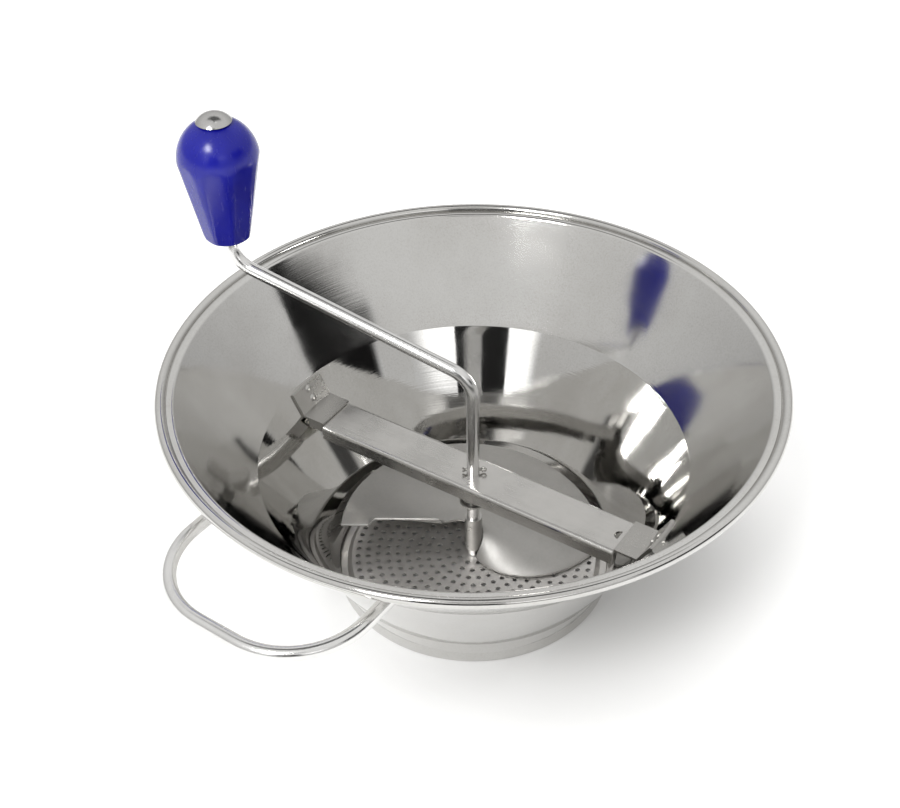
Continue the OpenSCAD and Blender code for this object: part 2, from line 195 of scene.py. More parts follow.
def held(points, reach=0.4 * MM, longest=6 * MM):
    """The closed outline with points added by its corners, so that straight runs shade flat."""
    out = []
    for p, q in zip(points, points[1:] + points[:1]):
        start, end = Vector(p), Vector(q)
        length = (end - start).length
        out.append(tuple(start))
        if length > 4 * reach:
            inner = length - 2 * reach
            count = math.ceil(inner / longest)
            for i in range(count + 1):
                out.append(tuple(start.lerp(end, (reach + inner * i / count) / length)))
    return out


def add_mesh(name, verts, faces, body, smooth_angle=40):
    """A mesh object that rides on a body, with outward normals and smooth shading."""
    mesh = bpy.data.meshes.new(name)
    mesh.from_pydata([tuple(v) for v in verts], [], faces)
    bm = bmesh.new()
    bm.from_mesh(mesh)
    bmesh.ops.remove_doubles(bm, verts=bm.verts, dist=SAME_PLACE)
    bmesh.ops.recalc_face_normals(bm, faces=bm.faces)
    bm.to_mesh(mesh)
    bm.free()
    obj = bpy.data.objects.new(name, mesh)
    bpy.context.scene.collection.objects.link(obj)
    shade(obj, smooth_angle)
    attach(obj, body)
    return obj


def shade(obj, smooth_angle):
    """Smooth shading, with edges above the angle kept sharp."""
    mesh = obj.data
    limit = math.radians(smooth_angle)
    bm = bmesh.new()
    bm.from_mesh(mesh)
    sharp = [
        len(e.link_faces) != 2 or e.calc_face_angle(0) > limit
        for e in bm.edges
    ]
    bm.free()
    if "sharp_edge" not in mesh.attributes:
        mesh.attributes.new("sharp_edge", "BOOLEAN", "EDGE")
    mesh.attributes["sharp_edge"].data.foreach_set("value", sharp)
    mesh.polygons.foreach_set("use_smooth", [True] * len(mesh.polygons))


def lathe(outline, segments):
    """Vertices and faces of a closed outline of (radius, height) turned about Z."""
    n = len(outline)
    verts = []
    for s in range(segments):
        a = 2 * math.pi * s / segments
        for r, z in outline:
            verts.append((r * math.cos(a), r * math.sin(a), z))
    faces = []
    for s in range(segments):
        t = (s + 1) % segments
        for i in range(n):
            j = (i + 1) % n
            faces.append((s * n + i, t * n + i, t * n + j, s * n + j))
    return verts, faces


def sweep(path, radii, sides):
    """A tube of the given radii along a path, closed with flat ends."""
    points = [Vector(p) for p in path]
    tangents = []
    for i in range(len(points)):
        a = points[max(0, i - 1)]
        b = points[min(len(points) - 1, i + 1)]
        tangents.append((b - a).normalized())
    side = tangents[0].orthogonal().normalized()
    verts, rings = [], []
    for i, (p, t) in enumerate(zip(points, tangents)):
        if i:
            side = tangents[i - 1].rotation_difference(t) @ side
        side = (side - t * side.dot(t)).normalized()
        other = t.cross(side)
        ring = []
        for k in range(sides):
            a = 2 * math.pi * k / sides
            ring.append(len(verts))
            verts.append(p + (side * math.cos(a) + other * math.sin(a)) * radii[i])
        rings.append(ring)
    faces = []
    for a, b in zip(rings, rings[1:]):
        for k in range(sides):
            m = (k + 1) % sides
            faces.append((a[k], a[m], b[m], b[k]))
    faces.append(tuple(reversed(rings[0])))
    faces.append(tuple(rings[-1]))
    return verts, faces


def ring_tube(points, radii, sides):
    """A closed tube along a ring of points."""
    n = len(points)
    middle = sum(points, Vector()) / n
    verts, faces = [], []
    for i, p in enumerate(points):
        along = (points[(i + 1) % n] - points[i - 1]).normalized()
        side = p - middle
        side = (side - along * side.dot(along)).normalized()
        other = along.cross(side)
        for k in range(sides):
            a = 2 * math.pi * k / sides
            verts.append(p + (side * math.cos(a) + other * math.sin(a)) * radii[i])
    for i in range(n):
        for k in range(sides):
            j = (i + 1) % n
            m = (k + 1) % sides
            faces.append((i * sides + k, j * sides + k, j * sides + m, i * sides + m))
    return verts, faces


def plate(lower, upper, rows, columns):
    """A closed sheet between two grids of points."""
    size = rows * columns
    faces = []
    for i in range(rows - 1):
        for j in range(columns - 1):
            a = i * columns + j
            faces.append((a, a + 1, a + columns + 1, a + columns))
            faces.append((size + a, size + a + columns, size + a + columns + 1, size + a + 1))
    edge = list(range(columns))
    edge += [i * columns + columns - 1 for i in range(1, rows)]
    edge += [size - 1 - j for j in range(1, columns)]
    edge += [i * columns for i in range(rows - 2, 0, -1)]
    for a, b in zip(edge, edge[1:] + edge[:1]):
        faces.append((a, size + a, size + b, b))
    return lower + upper, faces


def cone_radius(z):
    """Outside radius of the hopper's cone at a height."""
    share = (z - WAIST_Z) / (CONE_HEAD_Z - WAIST_Z)
    return CONE_FOOT_R + share * (CONE_HEAD_R - CONE_FOOT_R)


def on_cone(point, direction, inset=0.0):
    """Where a level line from outside the cone first meets it."""
    flat = Vector((point.x, point.y))
    b = flat.dot(Vector((direction.x, direction.y)))
    c = flat.length_squared - (cone_radius(point.z) - inset) ** 2
    return point + direction * (-b - math.sqrt(b * b - c))


def crank_point(x, z):
    """A point of the crank's plane: x outwards along the arm, z up."""
    return Vector((x * math.cos(CRANK_DIR), x * math.sin(CRANK_DIR), z))


# ---------------------------------------------------------------- node materials

class Shader:
    """Short calls that add and link shader nodes."""

    def __init__(self, name):
        self.material = bpy.data.materials.new(name)
        self.material.use_nodes = True
        self.tree = self.material.node_tree
        self.tree.nodes.clear()
        self.surface = self.add("ShaderNodeBsdfPrincipled")
        out = self.add("ShaderNodeOutputMaterial")
        self.link(self.surface.outputs[0], out.inputs[0])

    def add(self, kind, **settings):
        node = self.tree.nodes.new(kind)
        for key, value in settings.items():
            setattr(node, key, value)
        return node

    def link(self, source, target):
        if isinstance(source, bpy.types.NodeSocket):
            self.tree.links.new(source, target)
        else:
            target.default_value = source

    def math(self, operation, a, b=0.0, c=0.0):
        node = self.add("ShaderNodeMath", operation=operation)
        for value, socket in zip((a, b, c), node.inputs):
            self.link(value, socket)
        return node.outputs[0]

    def distance(self, x, y):
        """Distance from the axis."""
        square = self.math("MULTIPLY", x, x)
        return self.math("SQRT", self.math("MULTIPLY_ADD", y, y, square))

    def position(self):
        return self.add("ShaderNodeTexCoord").outputs["Object"]

    def split(self, vector):
        node = self.add("ShaderNodeSeparateXYZ")
        self.link(vector, node.inputs[0])
        return node.outputs

    def combine(self, x, y, z):
        node = self.add("ShaderNodeCombineXYZ")
        for value, socket in zip((x, y, z), node.inputs):
            self.link(value, socket)
        return node.outputs[0]

    def around(self, turn, radius, height, round_scale, cross_scale):
        """Texture place that runs round the axis, and changes quickly across it."""
        return self.combine(
            self.math("MULTIPLY", turn, round_scale),
            self.math("MULTIPLY", radius, cross_scale),
            self.math("MULTIPLY", height, cross_scale),
        )

    def scaled(self, vector, factors):
        node = self.add("ShaderNodeMapping")
        self.link(vector, node.inputs["Vector"])
        node.inputs["Scale"].default_value = factors
        return node.outputs[0]

    def noise(self, vector, scale, detail=3.0, roughness=0.55):
        node = self.add("ShaderNodeTexNoise")
        self.link(vector, node.inputs["Vector"])
        node.inputs["Scale"].default_value = scale
        node.inputs["Detail"].default_value = detail
        node.inputs["Roughness"].default_value = roughness
        return node.outputs["Fac"]

    def ramp(self, value, source, target):
        """A value that passes smoothly over the target range as another passes over the source."""
        node = self.add("ShaderNodeMapRange", interpolation_type="SMOOTHSTEP")
        self.link(value, node.inputs["Value"])
        node.inputs["From Min"].default_value = source[0]
        node.inputs["From Max"].default_value = source[1]
        node.inputs["To Min"].default_value = target[0]
        node.inputs["To Max"].default_value = target[1]
        return node.outputs["Result"]

    def total(self, first, *others):
        """The sum of some values."""
        for other in others:
            first = self.math("ADD", first, other)
        return first

    def colours(self, value, a, b):
        node = self.add("ShaderNodeMix", data_type="RGBA")
        self.link(value, node.inputs["Factor"])
        node.inputs["A"].default_value = (*a, 1)
        node.inputs["B"].default_value = (*b, 1)
        return node.outputs["Result"]

    def bump(self, height, strength, distance):
        node = self.add("ShaderNodeBump")
        node.inputs["Strength"].default_value = strength
        node.inputs["Distance"].default_value = distance
        self.link(height, node.inputs["Height"])
        self.link(node.outputs[0], self.surface.inputs["Normal"])

    def set(self, **values):
        for key, value in values.items():
            socket = self.surface.inputs[key.replace("_", " ")]
            self.link(value, socket)


def spun_steel(name):
    """Polished sheet with faint rings from spinning, shallow waves, smudges and a duller cone."""
    s = Shader(name)
    where = s.position()
    x, y, z = s.split(where)
    radius = s.distance(x, y)
    turn = s.math("ARCTAN2", y, x)
    ring_place = s.around(turn, radius, z, round_scale=0.6, cross_scale=900.0)
    rings = s.noise(ring_place, scale=1.0, detail=2.0)
    streak_place = s.around(turn, radius, z, round_scale=2.5, cross_scale=60.0)
    streaks = s.noise(streak_place, scale=1.0, detail=4.0)
    smudge = s.noise(where, scale=14.0, detail=4.0, roughness=0.6)
    speckle = s.noise(where, scale=900.0, detail=2.0)
    waves = s.noise(where, scale=26.0, detail=1.0)
    cone_rough = s.ramp(z, (WAIST_Z - 2 * MM, WAIST_Z + 3 * MM), (0.035, 0.085))
    smudge_rough = s.ramp(smudge, (0.35, 0.75), (-0.012, 0.035))
    streak_rough = s.ramp(streaks, (0.3, 0.7), (-0.008, 0.012))
    smudge_tone = s.ramp(smudge, (0.3, 0.75), (0.0, 0.7))
    speckle_tone = s.ramp(speckle, (0.4, 0.8), (0.0, 0.5))
    clean, dull = (0.66, 0.655, 0.64), (0.56, 0.55, 0.53)
    colour = s.colours(s.total(smudge_tone, speckle_tone), clean, dull)
    rough = s.total(cone_rough, smudge_rough, streak_rough)
    s.set(Base_Color=colour, Metallic=1.0, Roughness=rough)
    ring_height = s.math("MULTIPLY", rings, 0.008)
    speckle_height = s.math("MULTIPLY", speckle, 0.003)
    wave_height = s.math("MULTIPLY", waves, 0.16)
    s.bump(s.total(ring_height, speckle_height, wave_height), strength=1.0, distance=1.0 * MM)
    return s.material


def satin_steel(name, base, along=(1.0, 1.0, 1.0), rough=0.32):
    """Satin sheet: fine grain along one direction, pits and dull patches."""
    s = Shader(name)
    where = s.position()
    grain = s.noise(s.scaled(where, along), scale=700.0, detail=3.0)
    pits = s.noise(where, scale=1300.0, detail=1.0)
    patch = s.noise(where, scale=22.0, detail=4.0, roughness=0.6)
    patch_rough = s.ramp(patch, (0.3, 0.75), (-0.05, 0.08))
    grain_rough = s.ramp(grain, (0.3, 0.7), (-0.03, 0.04))
    tone = s.ramp(patch, (0.3, 0.8), (0.0, 1.0))
    darker = tuple(0.86 * c for c in base)
    colour = s.colours(tone, base, darker)
    s.set(Base_Color=colour, Metallic=1.0, Roughness=s.total(rough, patch_rough, grain_rough))
    pit_height = s.math("MULTIPLY", pits, 0.5)
    s.bump(s.total(grain, pit_height), strength=0.06, distance=0.1 * MM)
    return s.material


def wire_steel(name, base):
    """Drawn and polished rod."""
    s = Shader(name)
    where = s.position()
    fine = s.noise(where, scale=500.0, detail=3.0)
    patch = s.noise(where, scale=30.0, detail=4.0)
    patch_rough = s.ramp(patch, (0.3, 0.75), (0.17, 0.26))
    fine_rough = s.ramp(fine, (0.3, 0.7), (-0.02, 0.03))
    tone = s.ramp(patch, (0.3, 0.8), (0.0, 1.0))
    darker = tuple(0.88 * c for c in base)
    colour = s.colours(tone, base, darker)
    s.set(Base_Color=colour, Metallic=1.0, Roughness=s.total(patch_rough, fine_rough))
    s.bump(fine, strength=0.06, distance=0.05 * MM)
    return s.material


def blue_plastic(name):
    """Glossy moulded plastic with a faint orange peel and fine scuffs."""
    s = Shader(name)
    where = s.position()
    peel = s.noise(where, scale=260.0, detail=2.0)
    scuff = s.noise(s.scaled(where, (1.0, 1.0, 0.12)), scale=420.0, detail=4.0)
    cloud = s.noise(where, scale=40.0, detail=3.0)
    tone = s.ramp(cloud, (0.3, 0.7), (0.0, 1.0))
    rough = s.ramp(scuff, (0.4, 0.75), (0.21, 0.30))
    deep, pale = (0.005, 0.006, 0.24), (0.008, 0.010, 0.29)
    s.set(Base_Color=s.colours(tone, deep, pale), Roughness=rough, IOR=1.45)
    peel_height = s.math("MULTIPLY", peel, 0.6)
    scuff_height = s.math("MULTIPLY", scuff, 0.4)
    s.bump(s.total(peel_height, scuff_height), strength=0.06, distance=0.1 * MM)
    return s.material


# ---------------------------------------------------------------- pieces

def hopper_outline():
    """Closed section of the hopper, from the seat up the inside and down the outside.

    Its corners are (radius, height, fillet).
    """
    bead_centre = (RIM_R - BEAD_R, LIP_Z)
    # Where the sheet meets the rolled bead: a thin seam with a rounded edge
    seam_r = RIM_R - 2 * BEAD_R - 0.2 * MM
    seam_low = LIP_Z - 0.7 * MM
    seam_round = 0.5 * MM
    inside = rounded([
        (COLLAR_R, 0.0, 1.2 * MM),
        (SEAT_R, 0.0, 0.0),
        (SEAT_R, SHEET, 0.3 * MM),
        (COLLAR_R - SHEET, SHEET, 1.5 * MM),
        (COLLAR_R - SHEET, COLLAR_H, 4 * MM),
        (STEP_R - SHEET, STEP_Z, 3 * MM),
        (WAIST_R, WAIST_Z, 3.5 * MM),
        (LIP_R, LIP_Z, 2.5 * MM),
        (seam_r - seam_round, LIP_Z, 0.4 * MM),
        (seam_r, seam_low, 0.0),
        (bead_centre[0], LIP_Z - SHEET, 0.0),
        (CONE_HEAD_R, CONE_HEAD_Z, 2.5 * MM),
        (CONE_FOOT_R, WAIST_Z, 4 * MM),
        (STEP_R, STEP_Z, 3 * MM),
        (COLLAR_R, COLLAR_H, 4 * MM),
    ])
    before_bead = inside.index((seam_r, seam_low)) + 1
    bead = arc(bead_centre, BEAD_R, start=190, end=-90, steps=28)
    return held(inside[:before_bead] + bead + inside[before_bead:])


def make_hopper():
    verts, faces = lathe(hopper_outline(), segments=288)
    obj = add_mesh("hopper_shell", verts, faces, "hopper_set")
    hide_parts("hopper")
    obj.data.materials.append(MATERIALS["spun"])


def loop_path():
    """Middle of the loop's wire, from one leg round to the other."""
    cx = LOOP_HALF_W - LOOP_CORNER
    cy = LOOP_REACH - LOOP_CORNER
    corner = arc((cx, -cy), LOOP_CORNER, start=0, end=-90, steps=20)
    leg = [(LOOP_HALF_W, -LEG_END - along) for along in (0, 8 * MM)]
    half = leg + corner
    flat = half + [(-x, y) for x, y in reversed(half)]
    turn = Matrix.Rotation(LOOP_TURN, 4, "Z")
    return [turn @ Vector((x, y, LOOP_Z)) for x, y in flat]


def make_loop_handle():
    path = loop_path()
    sides = 32
    verts, faces = sweep(path, [LOOP_WIRE_R] * len(path), sides)
    inward = (path[0] - path[1]).normalized()
    for i in [*range(sides), *range(len(verts) - sides, len(verts))]:
        verts[i] = on_cone(verts[i], inward, SHEET / 3)
    obj = add_mesh("loop_wire", verts, faces, "hopper_set")
    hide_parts("loop_handle")
    obj.data.materials.append(MATERIALS["wire"])


def weld_ring(place, inward, wire_radius):
    """Fillet of weld where a level wire meets the cone."""
    steps = 56
    side = Vector((inward.y, -inward.x, 0))
    points, radii = [], []
    for k in range(steps):
        a = 2 * math.pi * k / steps
        round_wire = side * math.cos(a) + Vector((0, 0, math.sin(a)))
        points.append(on_cone(place + round_wire * wire_radius, inward, -WELD_OUT))
        swell = sum((high * math.sin(count * a + shift) for count, high, shift in WELD_LUMPS), 1)
        radii.append(WELD_R * swell)
    return ring_tube(points, radii, sides=12)


def make_welds():
    """The four joints between the wires and the cone, as one piece."""
    path = loop_path()
    inward = (path[0] - path[1]).normalized()
    joints = [(end, inward, LOOP_WIRE_R) for end in (path[0], path[-1])]
    for x in (HOOK_HALF_W, -HOOK_HALF_W):
        joints.append((Vector((x, HOOK_LEG_Y, HOOK_Z)), Vector((0, -1, 0)), HOOK_WIRE_R))
    verts, faces = [], []
    for place, direction, radius in joints:
        more, rings = weld_ring(place, direction, radius)
        faces += [tuple(i + len(verts) for i in face) for face in rings]
        verts += more
    obj = add_mesh("wire_welds", verts, faces, "hopper_set", smooth_angle=80)
    obj.data.materials.append(MATERIALS["weld"])


def crank_path():
    """Middle of the rod above its turned tip, as (outwards, up) in the plane of the arm."""
    turn = math.degrees(ARM_TURN)
    bend_steps = 16
    arm_steps = 8
    x0 = SHAFT_BEND_R * (1 - math.cos(ARM_TURN))
    z0 = SHAFT_BEND_Z + SHAFT_BEND_R * math.sin(ARM_TURN)
    x1 = x0 + ARM_L * math.sin(ARM_TURN)
    z1 = z0 + ARM_L * math.cos(ARM_TURN)
    post_x = x1 + KNOB_BEND_R * (1 - math.cos(ARM_TURN))
    post_z = z1 + KNOB_BEND_R * math.sin(ARM_TURN)
    shaft = [(0, z * MM) for z in (30, 60, 90, 115)]
    shaft_middle = (SHAFT_BEND_R, SHAFT_BEND_Z)
    shaft_bend = arc(shaft_middle, SHAFT_BEND_R, 180, 180 - turn, bend_steps)
    arm = []
    for i in range(1, arm_steps):
        arm.append((x0 + (x1 - x0) * i / arm_steps, z0 + (z1 - z0) * i / arm_steps))
    knob_bend = arc((post_x - KNOB_BEND_R, post_z), KNOB_BEND_R, -turn, 0, bend_steps)
    post = [(post_x, post_z + 8 * MM), (post_x, ROD_HIGH)]
    return shaft + shaft_bend + arm + knob_bend + post


def make_crank():
    edge = 0.4 * MM
    shoulder = 0.01 * MM
    tip = [
        (ROD_LOW, TIP_R - edge),
        (ROD_LOW + edge, TIP_R),
        (TIP_TOP, TIP_R),
        (TIP_TOP + shoulder, ROD_R - edge),
        (TIP_TOP + edge, ROD_R),
    ]
    rod = crank_path()
    path = [crank_point(0, z) for z, radius in tip] + [crank_point(x, z) for x, z in rod]
    radii = [radius for z, radius in tip] + [ROD_R] * len(rod)
    verts, faces = sweep(path, radii, sides=40)
    obj = add_mesh("crank_wire", verts, faces, "crank")
    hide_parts("crank_rod")
    obj.data.materials.append(MATERIALS["wire"])


def blade_point(s, r):
    """A point of the blade's under side. s runs from the wiping edge to the intake edge."""
    wipe = WIPE_DIR + WIPE_LAG * r
    intake = INTAKE_DIR - INTAKE_CUT * max(0, INTAKE_CUT_R - r)
    a = wipe + s * (intake - wipe)
    lip = min(1, (r - BLADE_LIP_IN) / BLADE_LIP_RAMP, (BLADE_LIP_OUT - r) / BLADE_LIP_RAMP)
    lip_z = BLADE_LIP_RISE * max(0, lip) * max(0, s - BLADE_LIP_FROM) / (1 - BLADE_LIP_FROM)
    z = BLADE_FOOT + BLADE_RISE * math.sin(math.pi / 2 * s ** BLADE_CURVE) + lip_z
    return Vector((r * math.cos(a), r * math.sin(a), z))


def blade_normal(s, r):
    """Upward normal, from two short steps along the surface."""
    s_step = 0.002
    r_step = 0.02 * MM
    a = blade_point(min(1, s + s_step), r) - blade_point(max(0, s - s_step), r)
    b = blade_point(s, r + r_step) - blade_point(s, r - r_step)
    return b.cross(a).normalized()


def make_blade():
    """Helical sheet with a small chamfer round its edges."""
    chamfer = 0.5 * MM
    chamfer_share = 0.003
    chamfer_depth = 0.25
    turn_steps = 150
    shares = [i / turn_steps for i in range(1, turn_steps)]
    shares = [0.0, chamfer_share] + shares + [1 - chamfer_share, 1.0]
    steps = 64
    low, high = BLADE_IN + chamfer, BLADE_R - chamfer
    radii = [low + (high - low) * i / steps for i in range(steps + 1)]
    radii = [BLADE_IN] + radii + [BLADE_R]
    lower, upper = [], []
    for s in shares:
        for r in radii:
            at_edge = s in (0.0, 1.0) or r in (BLADE_IN, BLADE_R)
            cut = chamfer_depth if at_edge else 0.0
            point = blade_point(s, r)
            normal = blade_normal(s, r) * BLADE_T
            lower.append(point + normal * cut)
            upper.append(point + normal * (1 - cut))
    verts, faces = plate(lower, upper, len(shares), len(radii))
    obj = add_mesh("blade_sheet", verts, faces, "crank", smooth_angle=30)
    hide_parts("blade")
    obj.data.materials.append(MATERIALS["blade"])


def make_spring():
    """Coil with half a flat turn at each end, riding on the press washer."""
    per_turn = 40
    count = int(per_turn * SPRING_TURNS)
    flat = 0.5 / SPRING_TURNS
    low = SPRING_LOW + SPRING_WIRE_R
    high = SPRING_HIGH - SPRING_WIRE_R
    path = []
    for i in range(count + 1):
        a = 2 * math.pi * i / per_turn
        rise = min(1, max(0, (i / count - flat) / (1 - 2 * flat)))
        path.append((SPRING_R * math.cos(a), SPRING_R * math.sin(a), low + rise * (high - low)))
    verts, faces = sweep(path, [SPRING_WIRE_R] * len(path), sides=14)
    body, slot = "press_washer", "spring_steel"
    obj = add_mesh("spring_coil", verts, faces, body, smooth_angle=50)
    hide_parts("spring")
    obj.data.materials.append(MATERIALS["spring"])
    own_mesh(obj)


def knob_outline():
    """Section of the knob before its flats are cut, up the outside."""
    dome_h = KNOB_L - KNOB_SHOULDER
    dome_end = math.acos(KNOB_TOP_R / KNOB_R)
    foot = 1.4 * MM
    side_steps = 24
    dome_steps = 27
    top_edge, top_flat, bore_edge = 0.3 * MM, 1.2 * MM, 0.5 * MM
    outline = [(KNOB_BORE_R, 0.0), (KNOB_FOOT_R - 2 * MM, 0.0)]
    outline += arc((KNOB_FOOT_R - foot, foot), foot, start=-80, end=-10, steps=7)
    for i in range(1, side_steps + 1):
        z = foot + (KNOB_SHOULDER - foot) * i / side_steps
        outline.append((KNOB_FOOT_R + KNOB_TAPER * z, z))
    for i in range(1, dome_steps):
        a = dome_end * i / dome_steps
        z = KNOB_SHOULDER + dome_h * math.sin(a) / math.sin(dome_end)
        outline.append((KNOB_R * math.cos(a), z))
    outline += [(KNOB_TOP_R - top_edge, KNOB_L), (KNOB_TOP_R - top_flat, KNOB_L)]
    return outline + [(KNOB_BORE_R + bore_edge, KNOB_L), (KNOB_BORE_R, KNOB_L - bore_edge)]


def make_knob():
    """Tapered knob with a dome and eight soft flats."""
    segments = 192
    soft = 0.16 * MM
    step = 2 * math.pi / KNOB_FLATS
    outline = knob_outline()
    turned, faces = lathe(outline, segments)
    verts = []
    for i, (x, y, z) in enumerate(turned):
        r = outline[i % len(outline)][0]
        a = math.atan2(y, x)
        off_middle = (a % step) - step / 2
        flat = (KNOB_FOOT_R - KNOB_FLAT_IN + KNOB_TAPER * z) / math.cos(off_middle)
        if r > KNOB_TOP_R:
            r = -soft * math.log(math.exp(-r / soft) + math.exp(-flat / soft))
        place = Vector((r * math.cos(a + CRANK_DIR), r * math.sin(a + CRANK_DIR), z))
        verts.append(place + Vector((KNOB_CENTRE.x, KNOB_CENTRE.y, knob_low.z)))
    obj = add_mesh("knob_body", verts, faces, "knob_body", smooth_angle=60)
    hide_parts("knob")
    obj.data.materials.append(MATERIALS["plastic"])


def finish_cad(name, material, bevel, smooth_angle=30):
    """Gives a CAD node its material, smooth shading and rounded edges."""
    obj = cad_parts[name]
    obj.data.materials.clear()
    obj.data.materials.append(material)
    if bevel:
        mod = obj.modifiers.new("edge", "BEVEL")
        mod.width = bevel
        mod.segments = 3
        mod.limit_method = "ANGLE"
        mod.angle_limit = math.radians(40)
    shade(obj, smooth_angle)


# ---------------------------------------------------------------- studio

def direction(azimuth, elevation):
    """Unit vector at an azimuth and elevation in degrees. Azimuth 0 is -Y, and 90 is +X."""
    a, e = math.radians(azimuth), math.radians(elevation)
    return Vector((math.sin(a) * math.cos(e), -math.cos(a) * math.cos(e), math.sin(e)))


def add_stage(name, verts, faces, shader):
    """Part of the studio: it isn't part of the object."""
    mesh = bpy.data.meshes.new(name)
    mesh.from_pydata(verts, [], faces)
    mesh.materials.append(shader.material)
    obj = bpy.data.objects.new(name, mesh)
    bpy.context.scene.collection.objects.link(obj)
    return obj


def seen_only_by(obj, *rays):
    """Hides a part of the studio from every kind of ray but the ones named."""
    for kind in ("camera", "diffuse", "glossy", "transmission", "shadow"):
        setattr(obj, "visible_" + kind, kind in rays)


# The floor's painted shadow lies to the right of the object as the camera sees it
PAINTED_SHADOW_CENTRE = (42 * MM, 28 * MM)
PAINTED_SHADOW_FADE = (0.7 * COLLAR_R, 2.2 * COLLAR_R)
FLOOR_HALF = 12.0
FLOOR_GLOW = 0.45


def make_floor():
    """Pale floor that glows a little, except in a painted shadow beside the object and a painted
    shade under it.

    It can be seen through from below.
    """
    s = Shader("floor_paint")
    x, y, z = s.split(s.position())
    # Painted shade under the object: the floor doesn't glow within the collar's radius
    outside_painted_under_shade = s.ramp(s.distance(x, y), (COLLAR_R - 4 * MM, COLLAR_R), (0.0, 1.0))
    # Painted shadow: the glow fades to nothing towards a centre offset from the object
    x = s.math("SUBTRACT", x, PAINTED_SHADOW_CENTRE[0])
    y = s.math("SUBTRACT", y, PAINTED_SHADOW_CENTRE[1])
    glow = s.ramp(s.distance(x, y), PAINTED_SHADOW_FADE, (0.0, FLOOR_GLOW))
    glow = s.math("MULTIPLY", glow, outside_painted_under_shade)
    from_below = s.add("ShaderNodeNewGeometry").outputs["Backfacing"]
    s.set(Base_Color=(0.72, 0.72, 0.715, 1), Roughness=0.7)
    s.set(Emission_Color=(1.0, 1.0, 1.0, 1), Emission_Strength=glow)
    s.set(Alpha=s.math("SUBTRACT", 1.0, from_below))
    signs = ((-1, -1), (1, -1), (1, 1), (-1, 1))
    corners = [(FLOOR_HALF * i, FLOOR_HALF * j, 0) for i, j in signs]
    add_stage("floor", corners, [(0, 1, 2, 3)], s)


def glow_shader(name, strength):
    """Shader that only gives light: strength is a number or a socket."""
    s = Shader(name)
    s.set(Base_Color=(0.0, 0.0, 0.0, 1), Roughness=1.0, Specular_IOR_Level=0.0)
    s.set(Emission_Color=(1.0, 1.0, 1.0, 1), Emission_Strength=strength)
    return s


def make_backdrop():
    """White wall round the floor that only the camera sees."""
    radius, height, count = 11.5, 8.0, 96
    white = glow_shader("backdrop_white", strength=1.05)
    low = [direction(360 * i / count, 0) * radius for i in range(count)]
    high = [p + Vector((0, 0, height)) for p in low]
    faces = [(i, (i + 1) % count, count + (i + 1) % count, count + i) for i in range(count)]
    wall = add_stage("backdrop", low + high, faces, white)
    seen_only_by(wall, "camera")


CARD_DISTANCE = 10.0
CARD_CENTRE = Vector((0, 0, 0.1))
AROUND_TONE = 0.72


def fade(share, start, end):
    """1 in the middle of an edge to edge share, falling to 0 over start and end."""
    low = 1 if not start else min(1, share / start)
    high = 1 if not end else min(1, (1 - share) / end)
    t = min(low, high)
    return t * t * (3 - 2 * t)


def card(name, corners, tone, soft):
    """A far card that only reflections see, from four corners of (azimuth, elevation).

    The corners go round from low and first. soft says how much of the card fades at its
    first side, its second side, its low edge and its high edge.
    """
    steps = 24
    a, b, c, d = (Vector(corner) for corner in corners)
    verts, faces, tones = [], [], []
    for i in range(steps + 1):
        u = i / steps
        for j in range(steps + 1):
            v = j / steps
            place = (a * (1 - u) + b * u) * (1 - v) + (d * (1 - u) + c * u) * v
            verts.append(tuple(CARD_CENTRE + direction(*place) * CARD_DISTANCE))
            share = fade(u, soft[0], soft[1]) * fade(v, soft[2], soft[3])
            tones.append(AROUND_TONE + (tone - AROUND_TONE) * share)
    for i in range(steps):
        for j in range(steps):
            k = i * (steps + 1) + j
            faces.append((k, k + steps + 1, k + steps + 2, k + 1))
    s = glow_shader(name, strength=1.0)
    s.set(Emission_Strength=s.add("ShaderNodeAttribute", attribute_name="tone").outputs["Fac"])
    obj = add_stage(name, verts, faces, s)
    obj.data.attributes.new("tone", "FLOAT", "POINT").data.foreach_set("value", tones)
    seen_only_by(obj, "glossy")


def softbox(name, azimuth, elevation, distance, size, power):
    """A soft square light aimed at the object."""
    light = bpy.data.lights.new(name, "AREA")
    light.size = size
    light.energy = power
    back = direction(azimuth, elevation)
    obj = bpy.data.objects.new(name, light)
    obj.location = CARD_CENTRE + back * distance
    obj.rotation_euler = back.to_track_quat("Z", "Y").to_euler()
    bpy.context.scene.collection.objects.link(obj)


def make_world():
    """Even light from above, and a little less from the sides."""
    world = bpy.data.worlds.new("studio")
    world.use_nodes = True
    tree = world.node_tree
    towards = tree.nodes.new("ShaderNodeTexCoord")
    split = tree.nodes.new("ShaderNodeSeparateXYZ")
    rise = tree.nodes.new("ShaderNodeMapRange")
    for name, value in (("From Min", 0.05), ("From Max", 0.65), ("To Min", 0.52), ("To Max", 0.86)):
        rise.inputs[name].default_value = value
    background = tree.nodes["Background"]
    background.inputs["Color"].default_value = (1.0, 0.995, 0.985, 1)
    tree.links.new(towards.outputs["Generated"], split.inputs[0])
    tree.links.new(split.outputs["Z"], rise.inputs["Value"])
    tree.links.new(rise.outputs["Result"], background.inputs["Strength"])
    bpy.context.scene.world = world


# The azimuth and the elevation are in degrees, as direction takes them
CAMERA_AZIMUTH = 34
CAMERA_ELEVATION = 39.44
CAMERA_ROLL = math.radians(-1.09)
CAMERA_VIEW_ANGLE = math.radians(33.83)
CAMERA_DISTANCE = 866 * MM
# The camera aims at a point a little left of and below the middle of the rim
AIM_LEFT = 13.5 * MM
AIM_DOWN = 19.7 * MM


